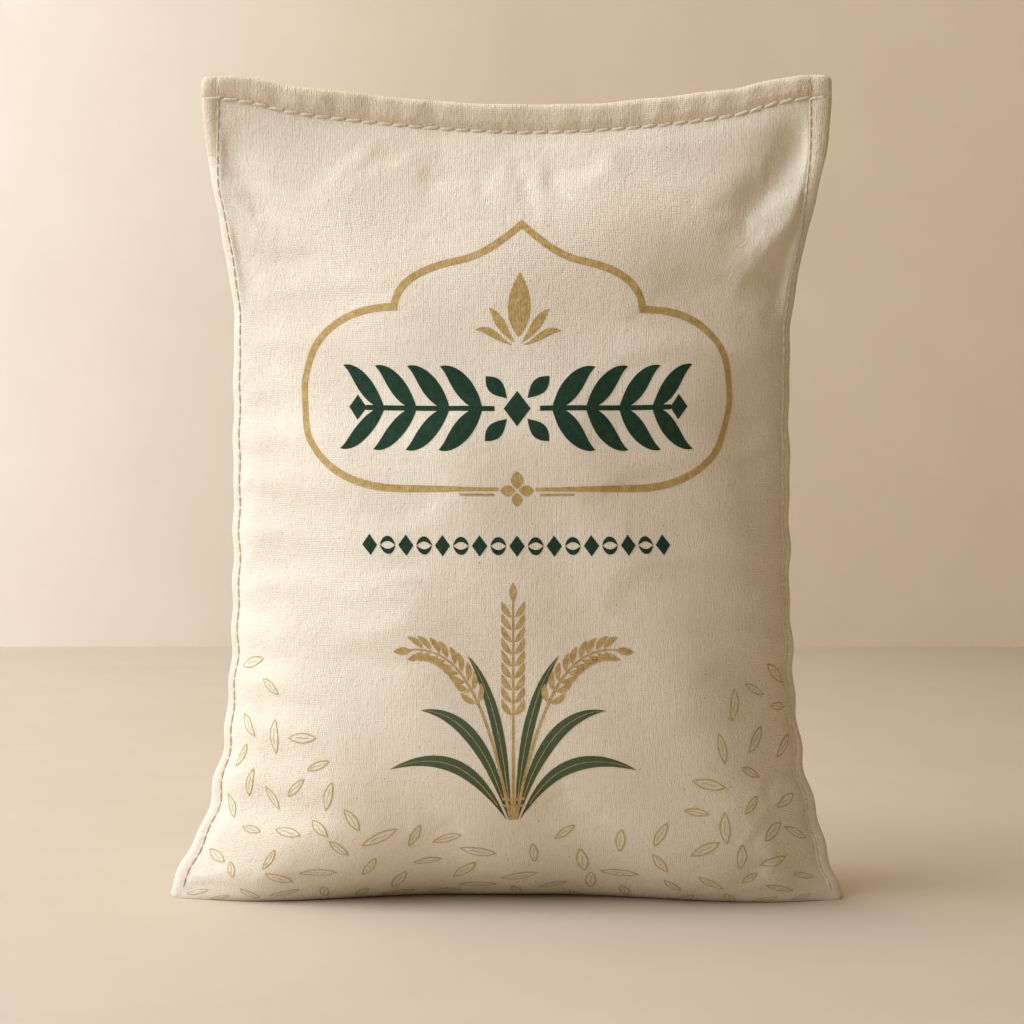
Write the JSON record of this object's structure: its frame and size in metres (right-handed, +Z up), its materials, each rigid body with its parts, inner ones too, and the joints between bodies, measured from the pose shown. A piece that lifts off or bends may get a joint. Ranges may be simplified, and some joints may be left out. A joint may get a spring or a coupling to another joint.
{
  "type": "bag of rice",
  "caption": "Filled cotton bag that stands upright, with a folded hem sewn shut across the top, a sewn seam down each side and pointed bottom corners.",
  "frame": {"origin": "on the floor under the middle of the bag", "axes": "+Z up, -Y towards the printed front, +X to the right of someone who looks at the front"},
  "size_m": [0.3286, 0.1142, 0.4],
  "materials": {
    "cloth": "matt natural cotton canvas with a plain weave",
    "thread": "matt twisted cotton sewing thread",
    "ink_green": "matt dark green ink printed on the cloth, weave showing through",
    "ink_gold": "matt ochre gold ink printed on the cloth, weave showing through"
  },
  "bodies": {
    "root": {"bag": "cloth", "hem_thread_front": "thread", "hem_thread_back": "thread", "side_thread_left_front": "thread", "side_thread_left_back": "thread", "side_thread_right_front": "thread", "side_thread_right_back": "thread"}
  },
  "joints": []
}
